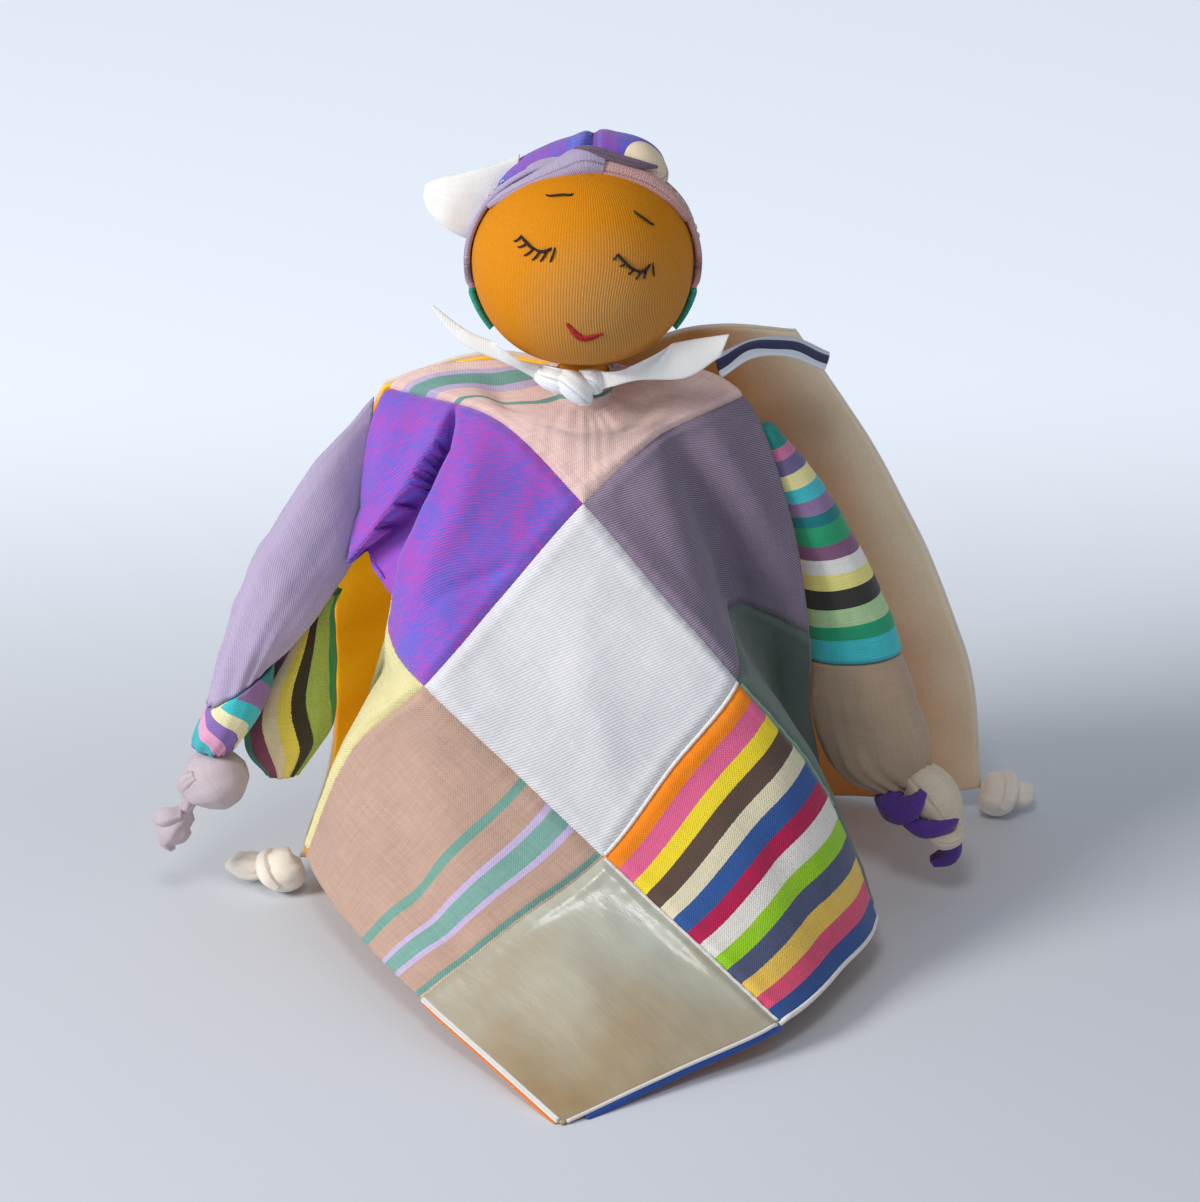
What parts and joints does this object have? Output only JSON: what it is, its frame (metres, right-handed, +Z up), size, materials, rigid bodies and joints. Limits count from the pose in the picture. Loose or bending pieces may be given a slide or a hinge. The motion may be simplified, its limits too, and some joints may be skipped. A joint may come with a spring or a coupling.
{
  "type": "patchwork rag doll",
  "caption": "Soft doll with a round knit head in a pointed patchwork cap, a draped patchwork cloth body, knotted hands and a flannel back cloth.",
  "frame": {"origin": "on the floor, below the middle of the outline", "axes": "+Z up, the face looks along -Y, +X to the right of someone who looks at the face"},
  "size_m": [0.3238, 0.249, 0.298],
  "materials": {
    "knit": "matte",
    "wool": "matte",
    "thread": "matte",
    "lips": "matte",
    "mauve": "matte",
    "violet": "matte",
    "peach": "matte",
    "cream": "matte",
    "white": "matte",
    "yellow": "matte",
    "green": "matte",
    "satin": "satin",
    "stripes": "matte",
    "teal": "matte",
    "pink": "matte",
    "linen": "matte",
    "purple": "matte",
    "orange": "matte",
    "blue": "matte",
    "ribbon": "satin",
    "tape": "matte"
  },
  "bodies": {
    "cloth": {"patch_peach_chest": "peach", "patch_violet_chest": "violet", "patch_yellow_side": "yellow", "patch_mauve_chest": "mauve", "patch_white_belly": "white", "patch_peach_hip": "peach", "patch_green_side": "green", "patch_striped_hip": "stripes", "patch_satin_corner": "satin", "lining_chest": "cream", "lining_orange": "orange", "lining_blue": "blue", "back_cloth_left": "cream", "back_lining_left": "orange", "back_cloth_right": "cream", "back_lining_right": "cream", "neck_thread": "wool", "ribbon_loop": "ribbon", "foot_knot_left": "cream", "foot_knot_right": "cream", "ribbon_knot": "ribbon"},
    "neck": {"neck_stub": "knit"},
    "head": {"head_skin": "knit", "head_core": "wool", "brow_left": "thread", "brow_right": "thread", "eye_left": "thread", "eye_right": "thread", "mouth": "lips", "hood_mauve": "mauve", "hood_pink": "pink", "hood_teal_left": "teal", "hood_teal_right": "teal", "hood_back": "linen", "crown_violet": "violet", "crown_peach": "peach"},
    "cap_tip": {"cap_tip": "cream"},
    "arm_left": {"sleeve_left_mauve": "mauve", "cuff_left_striped": "teal", "sleeve_left_inner": "yellow", "hand_left": "mauve"},
    "arm_right": {"sleeve_right_striped": "stripes", "sleeve_right_linen": "linen", "hand_right_cream": "cream", "hand_right_purple": "purple"},
    "ribbon_tail_left": {"ribbon_tail_left": "ribbon"},
    "ribbon_tail_right": {"ribbon_tail_right": "ribbon"},
    "label": {"shoulder_label": "tape"}
  },
  "joints": [
    {"name": "neck_turn", "type": "hinge", "parent": "cloth", "child": "neck", "pos_m": [-0.00824, 0.04313, 0.215], "axis": [0, 0, 1], "range_deg": [-25, 25]},
    {"name": "neck_nod", "type": "hinge", "parent": "neck", "child": "head", "pos_m": [-0.00824, 0.04313, 0.215], "axis": [1, 0, 0], "range_deg": [-18, 4]},
    {"name": "cap_tip_lift", "type": "hinge", "parent": "head", "child": "cap_tip", "pos_m": [-0.03324, 0.04713, 0.291], "axis": [0, 1, 0], "range_deg": [0, 70]},
    {"name": "arm_left_raise", "type": "hinge", "parent": "cloth", "child": "arm_left", "pos_m": [-0.08124, 0.04313, 0.199], "axis": [0, 1, 0], "range_deg": [0, 60]},
    {"name": "arm_right_raise", "type": "hinge", "parent": "cloth", "child": "arm_right", "pos_m": [0.05526, 0.04713, 0.19], "axis": [0, -1, 0], "range_deg": [0, 60]},
    {"name": "ribbon_left_swing", "type": "hinge", "parent": "cloth", "child": "ribbon_tail_left", "pos_m": [-0.02324, 0.02663, 0.214], "axis": [0, 0, 1], "range_deg": [0, 20]},
    {"name": "ribbon_right_swing", "type": "hinge", "parent": "cloth", "child": "ribbon_tail_right", "pos_m": [-0.00224, 0.02663, 0.212], "axis": [0, 0, -1], "range_deg": [0, 20]},
    {"name": "label_lift", "type": "hinge", "parent": "cloth", "child": "label", "pos_m": [0.03976, 0.05613, 0.2062], "axis": [0.1801, -0.9513, -0.2501], "range_deg": [0, 60]}
  ]
}
